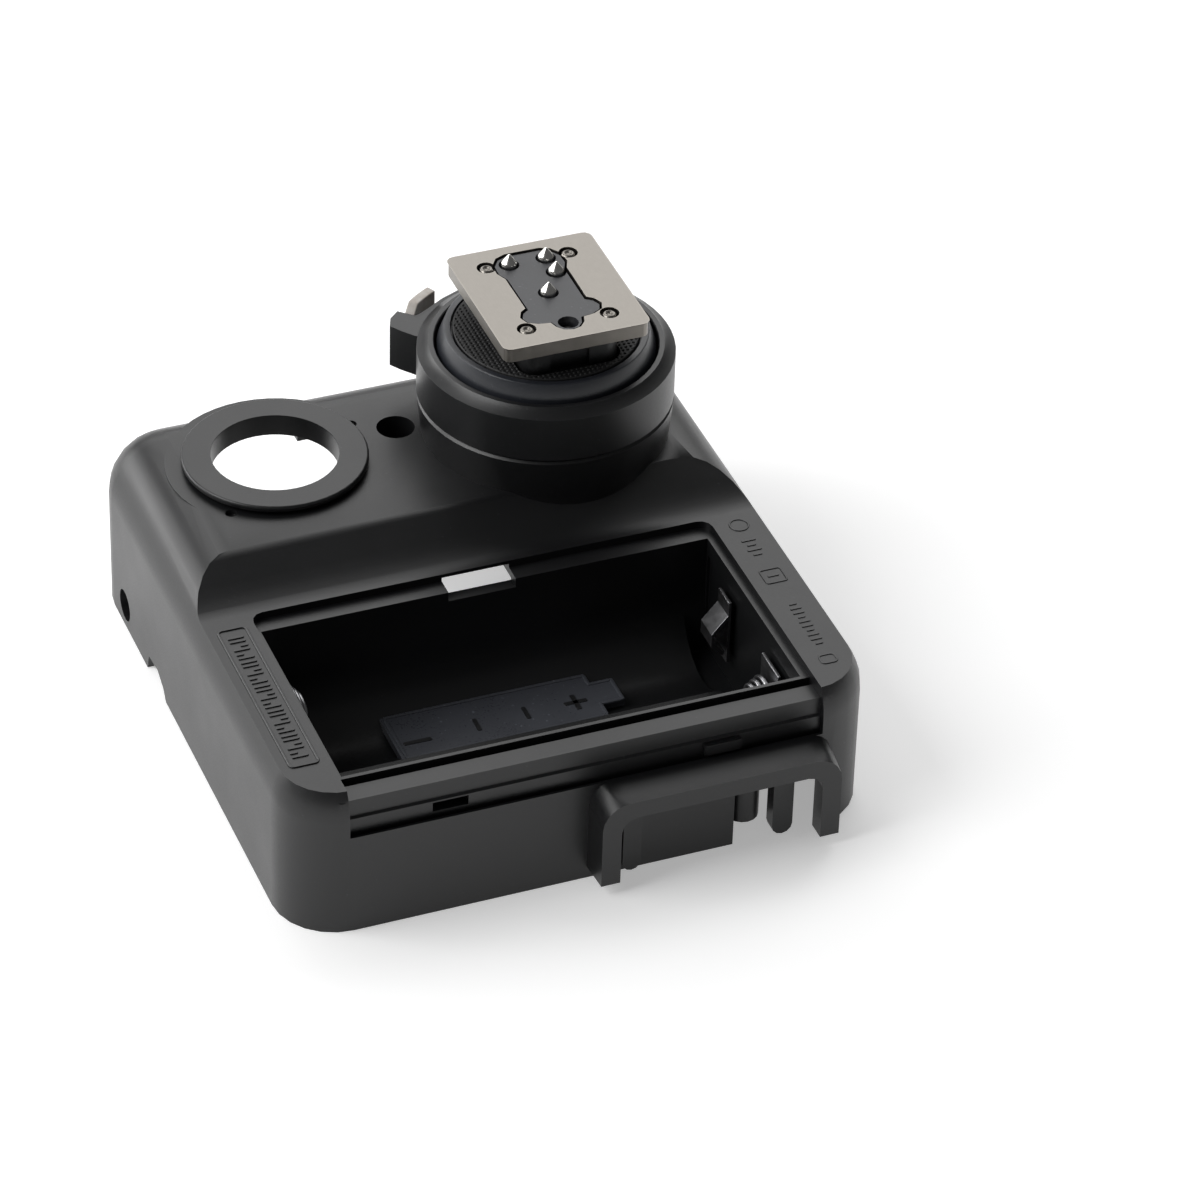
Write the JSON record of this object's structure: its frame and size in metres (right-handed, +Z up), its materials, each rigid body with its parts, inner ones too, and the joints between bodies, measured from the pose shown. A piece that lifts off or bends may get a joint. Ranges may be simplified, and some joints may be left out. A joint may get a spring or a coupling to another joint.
{
  "type": "wireless flash trigger housing",
  "caption": "Lower housing of a wireless flash trigger with battery bay, dial seat and hot-shoe foot with lock ring and sprung contacts.",
  "frame": {"origin": "centre of the footprint on the plane of the open rim it stands on", "axes": "+X along the battery cells towards the shoe foot's side, +Y from the window arch to the rear wall, +Z up to the shoe foot"},
  "size_m": [0.0732, 0.0808, 0.0445],
  "materials": {
    "shell_plastic": "fine moulded texture",
    "ring_plastic": "satin moulded",
    "disc_plastic": "satin moulded",
    "insulator_plastic": "matte moulded",
    "grip_rubber": "dimpled",
    "tab_plastic": "smooth moulded",
    "nickel_plate": "tumbled nickel plate",
    "pin_metal": "turned and plated",
    "spring_steel": "bright wire and strip",
    "board_laminate": "solder mask"
  },
  "bodies": {
    "root": {"bottom_shell": "shell_plastic", "dial_seat_ring": "shell_plastic", "foot_neck": "shell_plastic", "positive_leaf": "spring_steel", "negative_plate": "spring_steel", "bridge_contact": "spring_steel", "front_cell_spring": "spring_steel", "back_cell_spring": "spring_steel", "foot_plate": "nickel_plate", "contact_insulator": "insulator_plastic", "foot_rivet_1": "nickel_plate", "foot_rivet_2": "nickel_plate", "foot_rivet_3": "nickel_plate", "foot_rivet_4": "nickel_plate", "neck_screw_1": "spring_steel", "neck_screw_2": "spring_steel", "neck_screw_3": "spring_steel", "contact_board": "board_laminate", "board_screw_1": "spring_steel", "board_screw_2": "spring_steel", "sync_spring": "spring_steel", "data_spring_1": "spring_steel", "data_spring_2": "spring_steel", "data_spring_3": "spring_steel", "lock_pin_spring": "spring_steel", "ring_clip": "spring_steel"},
    "ring": {"lock_ring": "ring_plastic", "lever_pad": "tab_plastic"},
    "clamp": {"clamp_disc": "disc_plastic", "grip_pad": "grip_rubber"},
    "lock": {"lock_pin": "pin_metal"},
    "sync": {"sync_pin": "pin_metal"},
    "data_1": {"data_pin_1": "pin_metal"},
    "data_2": {"data_pin_2": "pin_metal"},
    "data_3": {"data_pin_3": "pin_metal"}
  },
  "joints": [
    {"name": "lock_ring_turn", "type": "hinge", "parent": "root", "child": "ring", "pos_m": [0.0158, 0.0211, 0.032], "axis": [0, 0, 1], "range_deg": [-75, 0]},
    {"name": "clamp_lift", "type": "slide", "parent": "root", "child": "clamp", "axis": [0, 0, 1], "range_m": [0, 0.0012]},
    {"name": "lock_pin_lift", "type": "slide", "parent": "root", "child": "lock", "axis": [0, 0, 1], "range_m": [0, 0.00185], "deforming": ["lock_pin_spring"]},
    {"name": "sync_contact", "type": "slide", "parent": "root", "child": "sync", "axis": [0, 0, 1], "range_m": [-0.0008, 0], "stiffness_N_per_m": 250, "springref_m": 0.0006, "deforming": ["sync_spring"]},
    {"name": "data_contact_1", "type": "slide", "parent": "root", "child": "data_1", "axis": [0, 0, 1], "range_m": [-0.0008, 0], "stiffness_N_per_m": 250, "springref_m": 0.0006, "deforming": ["data_spring_1"]},
    {"name": "data_contact_2", "type": "slide", "parent": "root", "child": "data_2", "axis": [0, 0, 1], "range_m": [-0.0008, 0], "stiffness_N_per_m": 250, "springref_m": 0.0006, "deforming": ["data_spring_2"]},
    {"name": "data_contact_3", "type": "slide", "parent": "root", "child": "data_3", "axis": [0, 0, 1], "range_m": [-0.0008, 0], "stiffness_N_per_m": 250, "springref_m": 0.0006, "deforming": ["data_spring_3"]}
  ],
  "couplings": [
    {"joint": "clamp_lift", "follows": "lock_ring_turn", "m_per_rad": -0.00084},
    {"joint": "lock_pin_lift", "follows": "lock_ring_turn", "m_per_rad": -0.001298}
  ]
}
